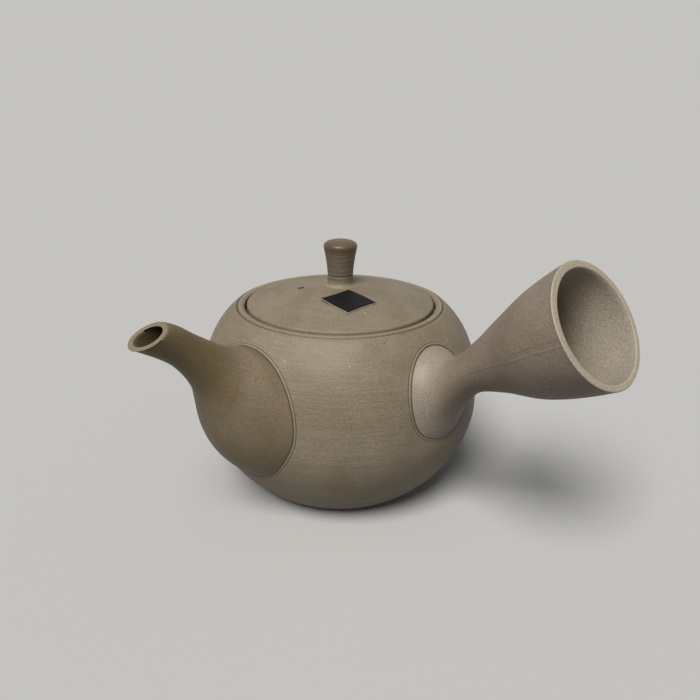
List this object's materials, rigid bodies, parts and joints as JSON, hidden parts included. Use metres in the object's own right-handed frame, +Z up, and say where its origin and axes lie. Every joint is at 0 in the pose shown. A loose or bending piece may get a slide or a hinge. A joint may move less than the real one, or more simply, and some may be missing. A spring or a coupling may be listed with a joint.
{
  "type": "kyusu teapot",
  "caption": "Small side-handled Japanese teapot in unglazed clay: round pot, upturned spout with a pierced strainer, hollow trumpet handle, drop-in lid with a turned knob.",
  "frame": {"origin": "centre of the pot's flat foot, on the surface that it stands on", "axes": "+Z up along the pot's axis; the spout pours towards -X; the handle points almost towards -Y, 85.5 degrees round from the spout"},
  "size_m": [0.1478, 0.1724, 0.1101],
  "materials": {
    "body_clay": "matte unglazed fired clay, taupe, fine grain and wheel lines",
    "spout_clay": "matte unglazed fired clay, browner",
    "handle_clay": "matte unglazed fired clay, slightly pinker",
    "lid_clay": "matte unglazed fired clay with concentric turning lines",
    "knob_clay": "reddish brown fired clay, polished by handling",
    "label_paper": "black satin paper label, blank"
  },
  "bodies": {
    "pot": {"pot_body": "body_clay", "spout": "spout_clay", "handle": "handle_clay", "strainer": "body_clay"},
    "lid": {"lid": "lid_clay", "lid_knob": "knob_clay", "label": "label_paper"}
  },
  "joints": [
    {"name": "lid_lift", "type": "slide", "parent": "pot", "child": "lid", "axis": [0, 0, 1], "range_m": [0, 0.06]}
  ]
}
